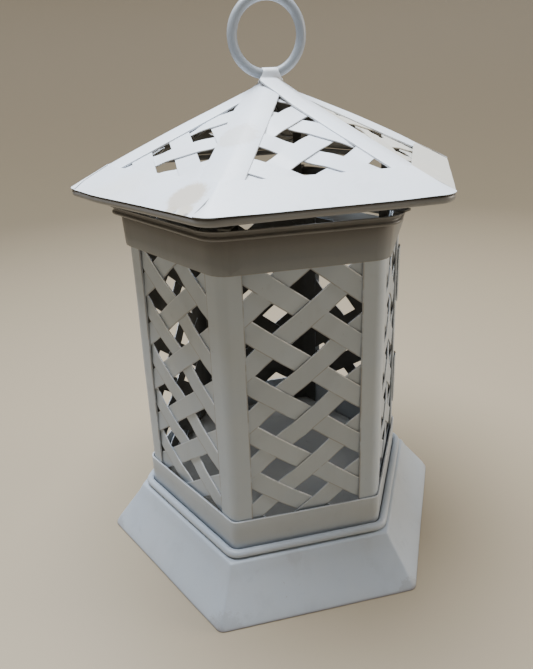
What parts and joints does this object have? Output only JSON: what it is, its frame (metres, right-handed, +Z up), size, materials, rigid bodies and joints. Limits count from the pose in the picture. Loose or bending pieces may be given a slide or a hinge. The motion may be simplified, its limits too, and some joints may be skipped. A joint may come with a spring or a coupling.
{
  "type": "candle lantern",
  "caption": "Hexagonal sheet-metal candle lantern: flared base, woven lattice sides with a hinged door, lift-off pyramid roof and carrying ring.",
  "frame": {"origin": "centre of the base's underside, on the surface the lantern stands on", "axes": "+Z up through the apex; the front face's normal is -Y; corners at 0, 60, 120 degrees about Z; the door's face normal is at +30 degrees"},
  "size_m": [0.2582, 0.2252, 0.3512],
  "materials": {
    "roof_paint": "weathered white paint",
    "body_paint": "weathered white paint",
    "base_paint": "weathered white paint, bluish",
    "band_paint": "weathered white paint, dirty edges",
    "floor_paint": "dusty grey-white paint",
    "pin_steel": "dull steel"
  },
  "bodies": {
    "lantern_body": {"base_skirt": "base_paint", "base_foot_ring": "base_paint", "base_ledge": "base_paint", "base_bead": "base_paint", "floor_plate": "floor_paint", "bottom_band": "band_paint", "top_band": "band_paint", "top_rim": "band_paint", "post_right": "body_paint", "post_back_right": "body_paint", "post_back_left": "body_paint", "post_left": "body_paint", "post_front_left": "body_paint", "post_front_right": "body_paint", "panel_front": "body_paint", "panel_front_right": "body_paint", "panel_back": "body_paint", "panel_back_left": "body_paint", "panel_front_left": "body_paint", "lower_hinge_fixed_leaf": "body_paint", "lower_hinge_pin": "pin_steel", "upper_hinge_fixed_leaf": "body_paint", "upper_hinge_pin": "pin_steel"},
    "door": {"door_frame": "body_paint", "door_lattice": "body_paint", "door_catch": "body_paint", "lower_hinge_door_leaf": "body_paint", "upper_hinge_door_leaf": "body_paint"},
    "roof": {"eave_band": "roof_paint", "eave_rim": "band_paint", "roof_hip_right": "roof_paint", "roof_hip_back_right": "roof_paint", "roof_hip_back_left": "roof_paint", "roof_hip_left": "roof_paint", "roof_hip_front_left": "roof_paint", "roof_hip_front_right": "roof_paint", "roof_panel_front": "roof_paint", "roof_panel_front_right": "roof_paint", "roof_panel_back_right": "roof_paint", "roof_panel_back": "roof_paint", "roof_panel_back_left": "roof_paint", "roof_panel_front_left": "roof_paint", "roof_leg_right": "roof_paint", "roof_leg_back_right": "roof_paint", "roof_leg_back_left": "roof_paint", "roof_leg_left": "roof_paint", "roof_leg_front_left": "roof_paint", "roof_leg_front_right": "roof_paint", "ring_strap": "roof_paint"},
    "ring": {"carry_ring": "roof_paint"}
  },
  "joints": [
    {"name": "door_swing", "type": "hinge", "parent": "lantern_body", "child": "door", "pos_m": [0.09365, 0.001, 0.096], "axis": [0.0297, 0, -0.9996], "range_deg": [0, 110]},
    {"name": "roof_lift", "type": "slide", "parent": "lantern_body", "child": "roof", "axis": [0, 0, 1], "range_m": [0, 0.06]},
    {"name": "ring_tip", "type": "hinge", "parent": "roof", "child": "ring", "pos_m": [0.0015, -0.0004, 0.3092], "axis": [0.9989, -0.0471, 0], "range_deg": [-90, 90]}
  ]
}
